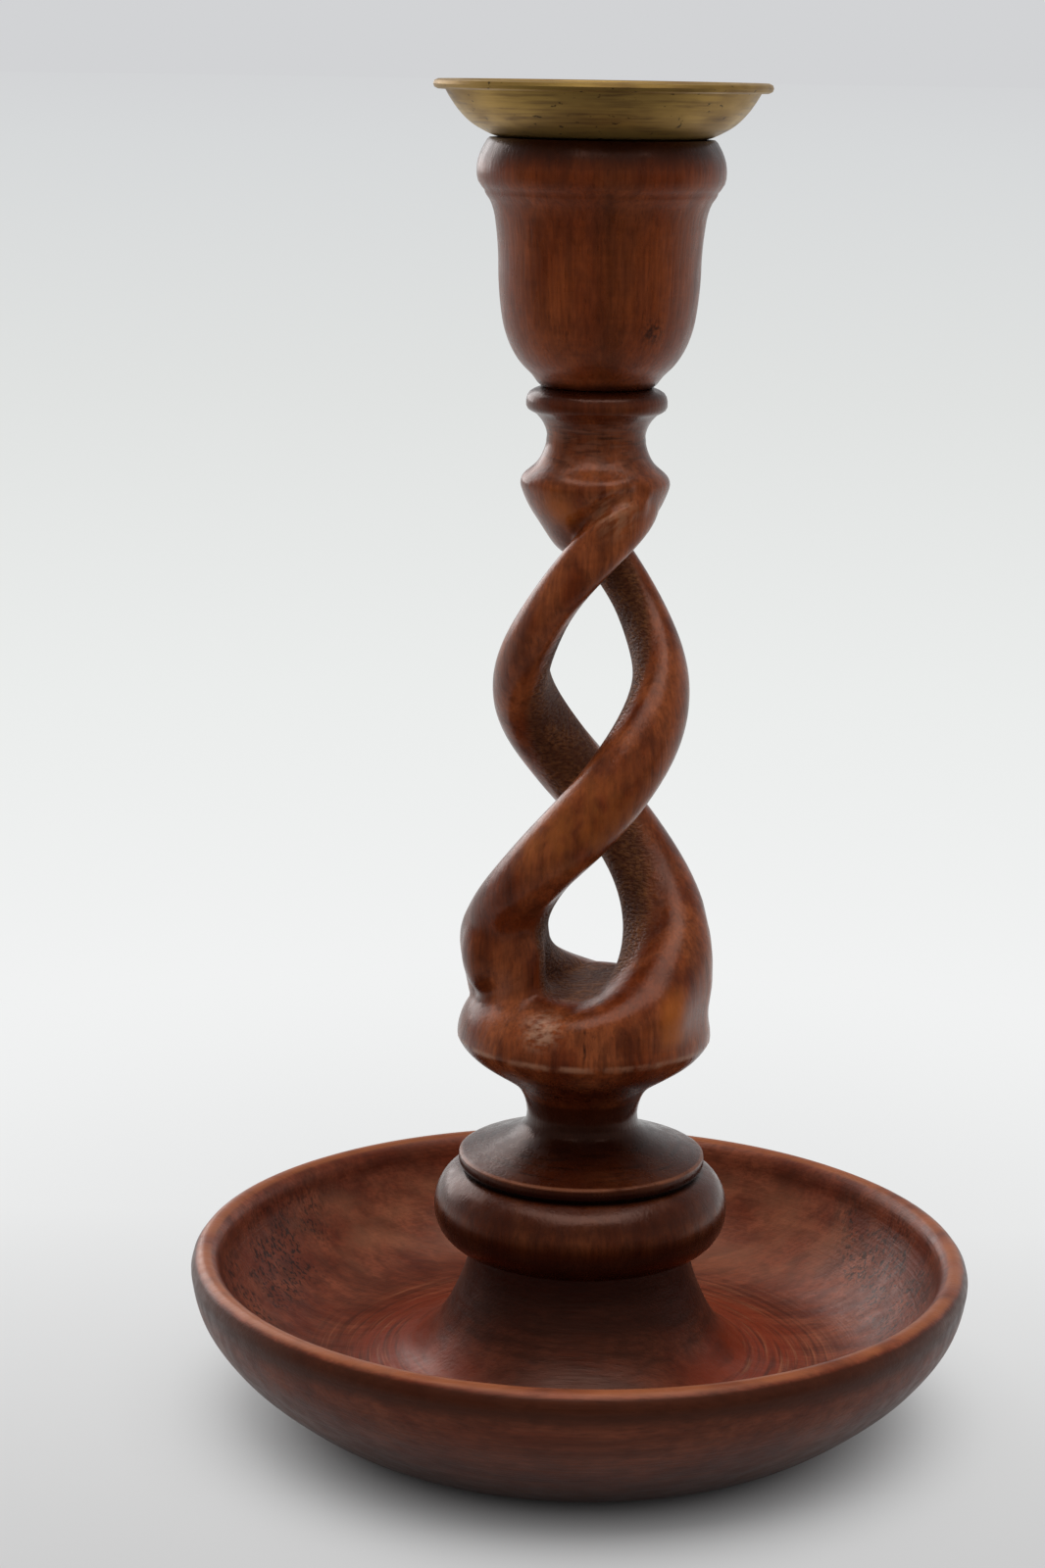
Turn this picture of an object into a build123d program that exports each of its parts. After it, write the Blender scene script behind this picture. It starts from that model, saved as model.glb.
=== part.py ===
from build123d import *
import math
import os

import numpy as np

# Open twist candle holder of turned and carved wood, with a brass candle nozzle and a loose drip pan.
# Lengths are in millimetres. The origin is at the middle of the foot, on the table, and +Z is up.
# Outlines are drawn by bend, from one named point to the next through shares of the way across and up.

# Dish
dish_r = 70.9
dish_rim_inset = 2.2
dish_inner_rim_inset = 4.3
dish_height = 31.0
dish_inner_rim_drop = 0.9
dish_edge_drop = 2.8
dish_foot_r = 42.0
dish_floor_r = 45.0
dish_floor_z = 9.6
foot_recess_r = 33.0
foot_recess_depth = 1.5
boss_foot_r = 36.0
boss_foot_rise = 0.8
boss_top_r = 19.8
boss_height = 31.8
dish_wall_shares = [(0.28, 0.11), (0.56, 0.3), (0.8, 0.53), (0.95, 0.77)]
dish_edge_shares = [(0.16, 0.45), (0.5, 0.83)]
dish_rim_shares = [(0.55, 0.16)]
dish_bowl_shares = [(0.07, 0.22), (0.24, 0.53), (0.5, 0.8), (0.75, 0.94)]
dish_floor_shares = [(0.5, 0.2)]
boss_shares = [(0.3, 0.06), (0.62, 0.28), (0.83, 0.57), (0.95, 0.82)]

# Stem, from its tenon up to the cup's spigot
tenon_r = 8.0
tenon_floor = 8.3
tenon_play = 0.05
tenon_end_play = 0.2
knop_seat_r = 20.9
knop_r = 26.7
knop_groove_r = 21.3
knop_height = 14.3
plate_r = 22.2
plate_edge = 1.3
plate_rise = 5.6
lower_neck_r = 10.0
lower_neck_height = 2.5
shoulder_r = 22.9
shoulder_rise = 15.9
head_r = 13.1
head_point_drop = 13.4
upper_neck_r = 8.6
upper_neck_rise = 8.3
collar_r = 12.3
collar_rise = 5.5
collar_height = 3.3
collar_top_r = 9.9
spigot_r = 5.0
spigot_length = 12.0
plate_edge_shares = [(0.7, 0.12), (1.0, 0.5)]
plate_shares = [(0.25, 0.14), (0.6, 0.42), (0.88, 0.76)]
shoulder_cone_shares = [(0.02, 0.19), (0.13, 0.39), (0.36, 0.54), (0.63, 0.68), (0.88, 0.85)]
shoulder_top_shares = [(0.02, 0.19), (0.11, 0.46), (0.32, 0.74), (0.65, 0.93)]
head_shares = [(0.3, 0.06), (0.5, 0.18), (0.64, 0.36), (0.74, 0.51), (0.85, 0.67), (0.93, 0.82)]
head_top_shares = [(0.09, 0.19), (0.58, 0.43), (0.87, 0.69)]
collar_under_shares = [(0.14, 0.5), (0.4, 0.76)]
collar_shares = [(0.05, 0.3), (0.35, 0.8)]

# Open twist: strands of a right-handed screw, cut out of a tapering blank between shoulder and flange.
# Each strand's size is given at its foot, belly, floor, lower eye, crossing, upper eye, neck, fan and head.
twist_height = 99.7
twist_turns = 1.055
strand_count = 2
strand_start_angle = 106.6
twist_floor_r = 13.0
twist_floor_rise = 9.8
strand_sink = 1.7
belly_r = 22.8
strand_floor_r = 22.7
lower_eye_r = 22.1
crossing_r = 19.0
upper_eye_r = 17.2
strand_neck_r = 14.9
strand_fan_r = 13.6
strand_head_sink = 1.0
station_height_shares = [0, 0.056, 0.098, 0.194, 0.43, 0.667, 0.788, 0.889, 1.01]
strand_depth_shares = [0.83, 0.75, 0.73, 0.7, 0.695, 0.575, 0.55, 0.53, 0.53]
strand_lead_angles = [80.0, 70.0, 57.0, 38.0, 36.5, 35.5, 27.5, 40.0, 95.0]
strand_trail_angles = [120.0, 90.0, 55.0, 37.0, 36.5, 36.0, 30.0, 27.0, 21.0]
strand_inner_flatness_share = 0.65
section_count = 27
curve_points = 9

# Cup
cup_height = 42.3
cup_foot_r = 9.7
cup_side_r = 17.4
cup_waist_r = 18.4
cup_bead_r = 21.4
cup_top_r = 19.5
cup_bead_drop = 5.3
cup_waist_drop = 12.2
cup_side_drop = 24.2
cup_bowl_shares = [(0.21, 0.1), (0.47, 0.215), (0.68, 0.35), (0.85, 0.55), (0.95, 0.78)]
cup_side_shares = [(0.15, 0.39), (0.58, 0.75)]
cup_waist_shares = [(0.2, 0.275), (0.57, 0.565), (0.84, 0.72)]
cup_bead_shares = [(0.1, 0.23), (0.5, 0.6)]

# Brass nozzle and drip pan
nozzle_r = 11.9
nozzle_wall = 0.75
nozzle_depth = 25.5
nozzle_floor = 0.8
nozzle_bore_play = 0.2
nozzle_lip_r = 13.4
nozzle_lip = 1.2
nozzle_ring_r = 13.0
nozzle_ring = 1.0
pan_play = 0.06
pan_end_play = 0.2
pan_r = 29.0
pan_height = 9.6
pan_sheet = 0.9
pan_floor_r = 17.6
pan_wall_r = 27.5
pan_bead = 1.7
nozzle_lip_shares = [(-0.1, 0.5), (0.4, 0.93)]
nozzle_mouth_shares = [(0.7, 0.3)]
pan_wall_shares = [(0.3, 0.14), (0.47, 0.25), (0.72, 0.52), (0.87, 0.76)]

# Screw under the dish
screw_r = 2.1
screw_head_r = 4.2
screw_head_height = 2.4
screw_length = 32.0
screw_tip = 5.0
screw_play = 0.2
screw_slot = 1.0
screw_slot_depth = 1.2

# Heights above the table that follow from the sizes above
cut_over = 1.0
tenon_z = foot_recess_depth + tenon_floor
knop_top_z = boss_height + knop_height
plate_z = knop_top_z + plate_edge
neck_z = plate_z + plate_rise
neck_top_z = neck_z + lower_neck_height
shoulder_z = neck_top_z + shoulder_rise
twist_floor_z = shoulder_z + twist_floor_rise
head_z = shoulder_z + twist_height
head_point_z = head_z - head_point_drop
upper_neck_z = head_z + upper_neck_rise
collar_z = upper_neck_z + collar_rise
stem_top_z = collar_z + collar_height
cup_top_z = stem_top_z + cup_height
nozzle_z = cup_top_z - nozzle_depth
screw_z = foot_recess_depth

os.makedirs("parts", exist_ok=True)


def bend(start, end, shares):
    """Draws a smooth curve from one point to another, through shares of the way across and up."""
    across = end[0] - start[0]
    up = end[1] - start[1]
    middle = [(start[0] + a * across, start[1] + b * up) for a, b in shares]
    Spline(start, *middle, end)


# The dish is one turned piece: a bowl with a rounded rim, and a boss that flares up to the knop.
dish_edge = (dish_r, dish_height - dish_edge_drop)
dish_rim = (dish_r - dish_rim_inset, dish_height)
dish_inner_rim = (dish_r - dish_inner_rim_inset, dish_height - dish_inner_rim_drop)
dish_floor = (dish_floor_r, dish_floor_z)
boss_foot = (boss_foot_r, dish_floor_z + boss_foot_rise)
boss_top = (boss_top_r, boss_height)
with BuildPart() as base_dish:
    with BuildSketch(Plane.XZ):
        with BuildLine():
            Polyline(
                (0, foot_recess_depth),
                (foot_recess_r, foot_recess_depth),
                (foot_recess_r, 0),
                (dish_foot_r, 0),
            )
            bend((dish_foot_r, 0), dish_edge, dish_wall_shares)
            bend(dish_edge, dish_rim, dish_edge_shares)
            bend(dish_rim, dish_inner_rim, dish_rim_shares)
            bend(dish_inner_rim, dish_floor, dish_bowl_shares)
            bend(dish_floor, boss_foot, dish_floor_shares)
            bend(boss_foot, boss_top, boss_shares)
            Polyline(boss_top, (0, boss_height), (0, foot_recess_depth))
        make_face()
    revolve(axis=Axis.Z)
    with BuildSketch(Plane.XY.offset(tenon_z - tenon_end_play)):
        Circle(tenon_r + tenon_play)
    extrude(amount=boss_height - tenon_z + tenon_end_play, mode=Mode.SUBTRACT)
    with Locations(Plane.XY.offset(foot_recess_depth).rotated((180, 0, 0))):
        CounterSinkHole(
            radius=screw_r + screw_play,
            counter_sink_radius=screw_head_r + screw_play,
            depth=tenon_floor,
            counter_sink_angle=2 * math.degrees(math.atan2(screw_head_r - screw_r, screw_head_height)),
        )
base_dish.part.label = "base_dish"

# The foot of the stem: tenon, cushion-shaped knop with its plate, neck, and the shoulder under the strands.
knop_seat = (knop_seat_r, boss_height)
knop_groove = (knop_groove_r, knop_top_z)
plate_rim = (plate_r, plate_z)
neck_top = (lower_neck_r, neck_top_z)
shoulder = (shoulder_r, shoulder_z)
twist_floor = (twist_floor_r, twist_floor_z)
with BuildPart() as stem_foot:
    with BuildSketch(Plane.XZ):
        with BuildLine():
            Polyline((0, tenon_z), (tenon_r, tenon_z), (tenon_r, boss_height), knop_seat)
            ThreePointArc(knop_seat, (knop_r, boss_height + knop_height / 2), knop_groove)
            bend(knop_groove, plate_rim, plate_edge_shares)
            bend(plate_rim, (lower_neck_r, neck_z), plate_shares)
            Line((lower_neck_r, neck_z), neck_top)
            bend(neck_top, shoulder, shoulder_cone_shares)
            bend(shoulder, twist_floor, shoulder_top_shares)
            Polyline(twist_floor, (0, twist_floor_z), (0, tenon_z))
        make_face()
    revolve(axis=Axis.Z)

# The head of the stem: a point that hangs between the strands, flange, neck, collar, and the cup's spigot.
head_point = (0, head_point_z)
head = (head_r, head_z)
upper_neck = (upper_neck_r, upper_neck_z)
collar = (collar_r, collar_z)
collar_top = (collar_top_r, stem_top_z)
with BuildPart() as stem_head:
    with BuildSketch(Plane.XZ):
        with BuildLine():
            bend(head_point, head, head_shares)
            bend(head, upper_neck, head_top_shares)
            bend(upper_neck, collar, collar_under_shares)
            bend(collar, collar_top, collar_shares)
            Polyline(
                collar_top,
                (spigot_r, stem_top_z),
                (spigot_r, stem_top_z + spigot_length),
                (0, stem_top_z + spigot_length),
                head_point,
            )
        make_face()
    revolve(axis=Axis.Z)

# The blank's radius follows the stations, and sinks into the shoulder below and the flange above.
station_heights = [shoulder_z + share * twist_height for share in station_height_shares]
station_radii = [
    shoulder_r - strand_sink,
    belly_r,
    strand_floor_r,
    lower_eye_r,
    crossing_r,
    upper_eye_r,
    strand_neck_r,
    strand_fan_r,
    head_r - strand_head_sink,
]


def smooth(z, values):
    """The value at height z on a gentle curve through the values given at the stations."""
    slopes = np.gradient(values, station_heights)
    i = min(max(int(np.searchsorted(station_heights, z)) - 1, 0), len(values) - 2)
    span = station_heights[i + 1] - station_heights[i]
    t = (z - station_heights[i]) / span
    start = (1 + 2 * t) * (1 - t) ** 2 * values[i] + t * (1 - t) ** 2 * span * slopes[i]
    end = t**2 * (3 - 2 * t) * values[i + 1] - t**2 * (1 - t) * span * slopes[i + 1]
    return float(start + end)


def strand_section(z, turn):
    """The outer and the inner curve of one strand's section at height z, round outside and flatter inside."""
    outer_r = smooth(z, station_radii)
    half_depth = outer_r * smooth(z, strand_depth_shares) / 2
    lead = smooth(z, strand_lead_angles)
    trail = smooth(z, strand_trail_angles)
    middle_angle = strand_start_angle + turn + 360 * twist_turns * (z - shoulder_z) / twist_height
    curves = []
    for way, flatness in ((1, 1), (-1, strand_inner_flatness_share)):
        curve = []
        for u in np.linspace(-math.pi / 2, math.pi / 2, curve_points):
            r = outer_r - half_depth + way * half_depth * math.cos(u) ** flatness
            side = lead if u > 0 else trail
            angle = math.radians(middle_angle + side * math.sin(u))
            curve.append((r * math.cos(angle), r * math.sin(angle)))
        curves.append(curve)
    return curves


def strand(turn):
    """One strand, from inside the shoulder to inside the flange."""
    with BuildPart() as twisted:
        for z in np.linspace(station_heights[0], station_heights[-1], section_count):
            with BuildSketch(Plane.XY.offset(float(z))):
                with BuildLine():
                    for curve in strand_section(float(z), turn):
                        Spline(*curve)
                make_face()
        loft()
    return twisted.part


strands = [strand(360 * n / strand_count) for n in range(strand_count)]
with BuildPart() as twist_stem:
    add(stem_foot.part)
    add(stem_head.part)
    add(strands)
    with Locations(Plane.XY.offset(tenon_z).rotated((180, 0, 0))):
        Hole(radius=screw_r, depth=screw_z + screw_length - tenon_z)
twist_stem.part.label = "twist_stem"

# The cup is turned apart from the stem and sits on its collar, over the spigot.
cup_side = (cup_side_r, cup_top_z - cup_side_drop)
cup_waist = (cup_waist_r, cup_top_z - cup_waist_drop)
cup_bead = (cup_bead_r, cup_top_z - cup_bead_drop)
cup_top = (cup_top_r, cup_top_z)
with BuildPart() as candle_cup:
    with BuildSketch(Plane.XZ):
        with BuildLine():
            Line((0, stem_top_z), (cup_foot_r, stem_top_z))
            bend((cup_foot_r, stem_top_z), cup_side, cup_bowl_shares)
            bend(cup_side, cup_waist, cup_side_shares)
            bend(cup_waist, cup_bead, cup_waist_shares)
            bend(cup_bead, cup_top, cup_bead_shares)
            Polyline(cup_top, (0, cup_top_z), (0, stem_top_z))
        make_face()
    revolve(axis=Axis.Z)
    with Locations(Plane.XY.offset(cup_top_z)):
        CounterBoreHole(
            radius=nozzle_r + nozzle_bore_play,
            counter_bore_radius=nozzle_ring_r + nozzle_bore_play,
            counter_bore_depth=nozzle_ring + 2 * pan_end_play,
            depth=nozzle_depth,
        )
    with BuildSketch(Plane.XY.offset(stem_top_z)):
        Circle(spigot_r + tenon_play)
    extrude(amount=spigot_length + tenon_end_play, mode=Mode.SUBTRACT)
candle_cup.part.label = "candle_cup"

# Brass tube with a floor. Its lip above the pan and its ring below hold the pan, which turns between them.
lip_z = cup_top_z + pan_sheet + pan_end_play
ring_z = cup_top_z - pan_end_play
lip = (nozzle_lip_r, lip_z)
lip_top = (nozzle_r, lip_z + nozzle_lip)
mouth = (nozzle_r - nozzle_wall, lip_z)
with BuildPart() as candle_nozzle:
    with BuildSketch(Plane.XZ):
        with BuildLine():
            Polyline(
                (0, nozzle_z),
                (nozzle_r, nozzle_z),
                (nozzle_r, ring_z - nozzle_ring),
                (nozzle_ring_r, ring_z - nozzle_ring),
                (nozzle_ring_r, ring_z),
                (nozzle_r, ring_z),
                (nozzle_r, lip_z),
                lip,
            )
            bend(lip, lip_top, nozzle_lip_shares)
            bend(lip_top, mouth, nozzle_mouth_shares)
            Polyline(
                mouth,
                (nozzle_r - nozzle_wall, nozzle_z + nozzle_floor),
                (0, nozzle_z + nozzle_floor),
                (0, nozzle_z),
            )
        make_face()
    revolve(axis=Axis.Z)
candle_nozzle.part.label = "candle_nozzle"

# Spun brass pan: flat floor, wall that curves up, and a rim rolled outwards into a bead.
pan_hole_r = nozzle_r + pan_play
pan_floor = (pan_floor_r, cup_top_z)
pan_wall_z = cup_top_z + pan_height - pan_bead / 2
pan_inside_shares = [(1 - a, 1 - b) for a, b in reversed(pan_wall_shares)]
with BuildPart() as drip_pan:
    with BuildSketch(Plane.XZ):
        with BuildLine():
            Line((pan_hole_r, cup_top_z), pan_floor)
            bend(pan_floor, (pan_wall_r, pan_wall_z), pan_wall_shares)
            Line((pan_wall_r, pan_wall_z), (pan_wall_r - pan_sheet, pan_wall_z))
            bend(
                (pan_wall_r - pan_sheet, pan_wall_z),
                (pan_floor_r, cup_top_z + pan_sheet),
                pan_inside_shares,
            )
            Polyline(
                (pan_floor_r, cup_top_z + pan_sheet),
                (pan_hole_r, cup_top_z + pan_sheet),
                (pan_hole_r, cup_top_z),
            )
        make_face()
        with Locations((pan_r - pan_bead / 2, pan_wall_z)):
            Circle(pan_bead / 2)
    revolve(axis=Axis.Z)
drip_pan.part.label = "drip_pan"

# Countersunk wood screw that pulls the stem's tenon down into the dish.
with BuildPart() as base_screw:
    with BuildSketch(Plane.XZ):
        with BuildLine():
            Polyline(
                (0, screw_z),
                (screw_head_r, screw_z),
                (screw_r, screw_z + screw_head_height),
                (screw_r, screw_z + screw_length - screw_tip),
                (0, screw_z + screw_length),
                (0, screw_z),
            )
        make_face()
    revolve(axis=Axis.Z)
    with BuildSketch(Plane.XY.offset(screw_z)):
        Rectangle(2 * screw_head_r + cut_over, screw_slot)
    extrude(amount=screw_slot_depth, mode=Mode.SUBTRACT)
base_screw.part.label = "base_screw"

for piece in [base_dish, twist_stem, candle_cup, candle_nozzle, drip_pan, base_screw]:
    export_step(piece.part, f"parts/{piece.part.label}.step")
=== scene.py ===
import math

import bpy
from mathutils import Matrix, Vector


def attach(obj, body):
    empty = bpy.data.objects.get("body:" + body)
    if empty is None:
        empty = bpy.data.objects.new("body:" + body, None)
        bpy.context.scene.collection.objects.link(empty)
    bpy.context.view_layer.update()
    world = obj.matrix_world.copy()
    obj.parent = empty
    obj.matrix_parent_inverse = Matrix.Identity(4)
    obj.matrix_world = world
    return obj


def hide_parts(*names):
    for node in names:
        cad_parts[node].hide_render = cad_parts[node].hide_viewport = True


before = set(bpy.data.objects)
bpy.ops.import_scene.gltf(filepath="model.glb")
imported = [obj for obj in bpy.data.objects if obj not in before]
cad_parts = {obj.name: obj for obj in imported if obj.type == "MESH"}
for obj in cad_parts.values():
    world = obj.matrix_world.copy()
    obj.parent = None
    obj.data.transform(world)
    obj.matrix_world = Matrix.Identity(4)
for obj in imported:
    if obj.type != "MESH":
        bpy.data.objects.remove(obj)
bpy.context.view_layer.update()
MM = 0.001

# Dish: a disc of stained and waxed hardwood, turned on the lathe to a shallow bowl with a rounded rim and
# a flared boss in its middle. Its grain runs across, so end grain shows inside the left and right walls.
# Outlines are radii and heights in mm, in runs of smooth curve with a corner where one run meets the next.
dish_outline = [
    [(2.3, 9.6), (2.3, 4.1)],
    [(2.3, 4.1), (4.4, 1.5)],
    [(4.4, 1.5), (14.0, 1.5), (24.0, 1.5), (33.0, 1.5)],
    [(33.0, 1.5), (33.1, 0.5), (33.6, 0.1), (34.2, 0.0)],
    [(34.2, 0.0), (38.0, 0.0), (41.6, 0.0)],
    [(41.6, 0.0), (42.2, 0.2), (50.1, 3.1), (58.2, 8.5), (65.1, 14.9), (69.5, 21.7), (70.7, 26.4)]
    + [(70.89, 28.2), (70.55, 29.5), (69.8, 30.5), (68.7, 31.0), (67.6, 30.85), (66.6, 30.1), (65.1, 25.6)]
    + [(61.4, 19.2), (55.8, 13.7), (50.4, 10.8), (45.0, 9.6), (40.5, 9.75), (36.0, 10.4), (31.1, 11.7)]
    + [(25.96, 16.4), (22.5, 22.6), (20.6, 27.9), (19.8, 31.8)],
    [(19.8, 31.8), (14.0, 31.8), (8.05, 31.8)],
    [(8.05, 31.8), (8.05, 20.0), (8.05, 9.6)],
    [(8.05, 9.6), (2.3, 9.6)],
]
outline_step = 0.9
weld_distance = 0.002
crease_angle = 34


def curve_points(knots, step):
    """Points along a smooth curve through the knots, about a step apart, without the last one."""
    knots = [Vector(knot) for knot in knots]
    spans = [(b - a).length for a, b in zip(knots, knots[1:])]
    slopes = [(b - a) / span for a, b, span in zip(knots, knots[1:], spans)]
    tangents = [slopes[0]]
    for left, right, back, ahead in zip(slopes, slopes[1:], spans, spans[1:]):
        tangents.append((left * ahead + right * back) / (back + ahead))
    tangents.append(slopes[-1])
    points = []
    for a, b, leave, reach, span in zip(knots, knots[1:], tangents, tangents[1:], spans):
        count = max(1, round(span / step))
        for i in range(count):
            t = i / count
            point = a * (2 * t**3 - 3 * t**2 + 1) + b * (3 * t**2 - 2 * t**3)
            point += (leave * (t**3 - 2 * t**2 + t) + reach * (t**3 - t**2)) * span
            points.append(point)
    return points


def turned(name, runs, sides, step=outline_step):
    """A piece spun round the Z axis from an outline, as on a lathe. An outline with loose ends stays open."""
    points = [point for run in runs for point in curve_points(run, step)] + [Vector(runs[-1][-1])]
    bpy.ops.object.select_all(action="DESELECT")
    bpy.ops.mesh.primitive_plane_add(size=MM, location=(points[0][0] * MM, 0, points[0][1] * MM))
    piece = bpy.context.object
    piece.name = name
    piece.data.name = name
    bpy.ops.object.transform_apply(location=True, rotation=True, scale=True)
    bpy.ops.object.mode_set(mode="EDIT")
    bpy.ops.mesh.select_all(action="SELECT")
    bpy.ops.mesh.merge(type="CENTER")
    for here, there in zip(points, points[1:]):
        way = (there - here) * MM
        bpy.ops.mesh.extrude_region_move(TRANSFORM_OT_translate={"value": (way[0], 0, way[1])})
    bpy.ops.mesh.select_all(action="SELECT")
    bpy.ops.mesh.spin(steps=sides, angle=2 * math.pi, center=(0, 0, 0), axis=(0, 0, 1))
    bpy.ops.mesh.select_all(action="SELECT")
    bpy.ops.mesh.remove_doubles(threshold=weld_distance * MM)
    bpy.ops.mesh.normals_make_consistent(inside=False)
    bpy.ops.object.mode_set(mode="OBJECT")
    bpy.ops.object.shade_smooth_by_angle(angle=math.radians(crease_angle))
    return piece


def linear(code):
    """The linear colour of an sRGB hex value."""
    parts = [int(code[i : i + 2], 16) / 255 for i in (1, 3, 5)]
    return [p / 12.92 if p <= 0.04045 else ((p + 0.055) / 1.055) ** 2.4 for p in parts] + [1.0]


def add(tree, kind, inputs=None, output=0, **settings):
    """Adds a node with its settings, sets or links its inputs, and gives one of its outputs, if any."""
    node = tree.nodes.new(kind)
    for key, value in settings.items():
        setattr(node, key, value)
    for key, value in (inputs or {}).items():
        if isinstance(value, bpy.types.NodeSocket):
            tree.links.new(value, node.inputs[key])
        else:
            node.inputs[key].default_value = value
    return node.outputs[output] if node.outputs else None


# Zones are given in mm. These two stand for a zone that is open at its lower or its upper end.
no_start = (-2, -1)
no_end = (900, 901)


def zone(tree, value, rise, fall):
    """A soft-edged zone: 1 where a value lies past both places of the rise and before both of the fall."""
    up = {"Value": value, "From Min": rise[0] * MM, "From Max": rise[1] * MM}
    down = {"Value": value, "From Min": fall[1] * MM, "From Max": fall[0] * MM}
    up = add(tree, "ShaderNodeMapRange", up, interpolation_type="SMOOTHSTEP")
    down = add(tree, "ShaderNodeMapRange", down, interpolation_type="SMOOTHSTEP")
    return add(tree, "ShaderNodeMath", {0: up, 1: down}, operation="MULTIPLY")


def from_axis(tree, place):
    """The level way from the Z axis to a place, and its length."""
    flat = add(tree, "ShaderNodeVectorMath", {0: place, 1: (1, 1, 0)}, operation="MULTIPLY")
    radius = add(tree, "ShaderNodeVectorMath", {0: flat}, output=1, operation="LENGTH")
    return flat, radius


def towards_front(tree, place, start, full):
    """Rises from 0 to 1 between two places along the Y axis, in mm. The second one is further in front."""
    depth = add(tree, "ShaderNodeSeparateXYZ", {0: place}, output=1)
    return add(tree, "ShaderNodeMapRange", {"Value": depth, "From Min": start * MM, "From Max": full * MM})


def stain(tree, colour, tint, share, *masks):
    """A colour with a share of a tint laid over it where all the masks are."""
    for mask in masks:
        share = add(tree, "ShaderNodeMath", {0: mask, 1: share}, operation="MULTIPLY")
    return add(tree, "ShaderNodeMix", {0: share, 6: colour, 7: tint}, output=2, data_type="RGBA")


def fibres(tree, place, turn, across, along, low, high, detail=3.0, warp=0.0):
    """Streaks drawn out along the grain, from a noise across by along mm in size, 0 at low and 1 at high."""
    laid = add(tree, "ShaderNodeMapping", {"Vector": place, "Rotation": turn})
    scale = (1 / (across * MM), 1 / (across * MM), 1 / (along * MM))
    drawn = add(tree, "ShaderNodeMapping", {"Vector": laid, "Scale": scale})
    noise = {"Vector": drawn, "Scale": 1.0, "Detail": detail, "Distortion": warp}
    noise = add(tree, "ShaderNodeTexNoise", noise)
    streaks = {"Value": noise, "From Min": low, "From Max": high}
    return add(tree, "ShaderNodeMapRange", streaks, interpolation_type="SMOOTHSTEP")


def around(tree, place, pitch, low, high):
    """Rings left by the turning tool, a pitch in mm apart over radius and height, that fade on their way."""
    flat, radius = from_axis(tree, place)
    height = add(tree, "ShaderNodeSeparateXYZ", {0: place}, output=2)
    run = add(tree, "ShaderNodeMath", {0: radius, 1: height}, operation="ADD")
    run = add(tree, "ShaderNodeMath", {0: run, 1: 1 / (pitch * MM)}, operation="MULTIPLY")
    way = add(tree, "ShaderNodeVectorMath", {0: flat}, operation="NORMALIZE")
    way = add(tree, "ShaderNodeVectorMath", {0: way, 1: (2.2, 2.2, 0)}, operation="MULTIPLY")
    lifted = add(tree, "ShaderNodeCombineXYZ", {2: run})
    spot = add(tree, "ShaderNodeVectorMath", {0: way, 1: lifted}, operation="ADD")
    noise = add(tree, "ShaderNodeTexNoise", {"Vector": spot, "Scale": 1.0, "Detail": 3.0})
    return add(tree, "ShaderNodeMapRange", {"Value": noise, "From Min": low, "From Max": high})


# Real fibres, pores and tool marks are finer than the render shows, so they are drawn coarser here. The
# highlights have a warm tint, because a plain one veils the dark stain with grey.
wax_ior = 1.44
wax_tint = (1.0, 0.58, 0.46, 1.0)
wax_spread = 0.06
pore_colour = "#1A0903"


def waxed_wood(name, turn, dark, mid, warm, figure, rings, gloss):
    """Stained hardwood with rubbed wax: soft bands and clouds of stain, fibres, short pores, tool rings."""
    material = bpy.data.materials.new(name)
    material.use_nodes = True
    tree = material.node_tree
    tree.nodes.clear()
    place = add(tree, "ShaderNodeTexCoord", output=3)
    clouds = fibres(tree, place, turn, 8.0, 22.0, 0.34, 0.68, 3.0, 0.5)
    bands = fibres(tree, place, turn, 4.2, 110.0, 0.42, 0.72, 3.0, 0.2)
    mottle = fibres(tree, place, turn, 2.6, 4.5, 0.42, 0.68, 5.0, 0.6)
    fine = fibres(tree, place, turn, 0.55, 13.0, 0.36, 0.68)
    pores = fibres(tree, place, turn, 0.26, 4.0, 0.62, 0.74, 1.0)
    tool = around(tree, place, 0.9, 0.3, 0.75)
    wax = fibres(tree, place, turn, 2.4, 5.0, 0.3, 0.7, 5.0)
    colour = stain(tree, linear(mid), linear(warm), figure, clouds)
    colour = stain(tree, colour, linear(dark), 0.6 * figure, bands)
    colour = stain(tree, colour, linear(dark), 0.5 * figure, mottle)
    colour = stain(tree, colour, linear(dark), 0.34, fine)
    colour = stain(tree, colour, linear(dark), 0.2, tool)
    colour = stain(tree, colour, linear(pore_colour), 0.35, pores)
    relief = add(tree, "ShaderNodeMath", {0: fine, 1: pores}, operation="ADD")
    grain = {"Height": relief, "Strength": 0.16, "Distance": 0.08 * MM}
    bump = add(tree, "ShaderNodeBump", grain, invert=True)
    turning = {"Height": tool, "Strength": rings, "Distance": 0.1 * MM, "Normal": bump}
    bump = add(tree, "ShaderNodeBump", turning)
    rough = {"Value": wax, "To Min": gloss - wax_spread, "To Max": gloss + wax_spread}
    rough = add(tree, "ShaderNodeMapRange", rough)
    sheen = {"Roughness": rough, "IOR": wax_ior, "Specular Tint": wax_tint, "Normal": bump}
    add(tree, "ShaderNodeBsdfPrincipled", sheen)
    return material, tree, place, colour, bump


def finish_wood(tree, colour, normal):
    """Links the finished colour and relief to the shader."""
    shader = tree.nodes["Principled BSDF"]
    tree.links.new(colour, shader.inputs["Base Color"])
    tree.links.new(normal, shader.inputs["Normal"])
    add(tree, "ShaderNodeOutputMaterial", {"Surface": shader.outputs[0]})


dish = turned("turned_dish", dish_outline, sides=256)

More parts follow.
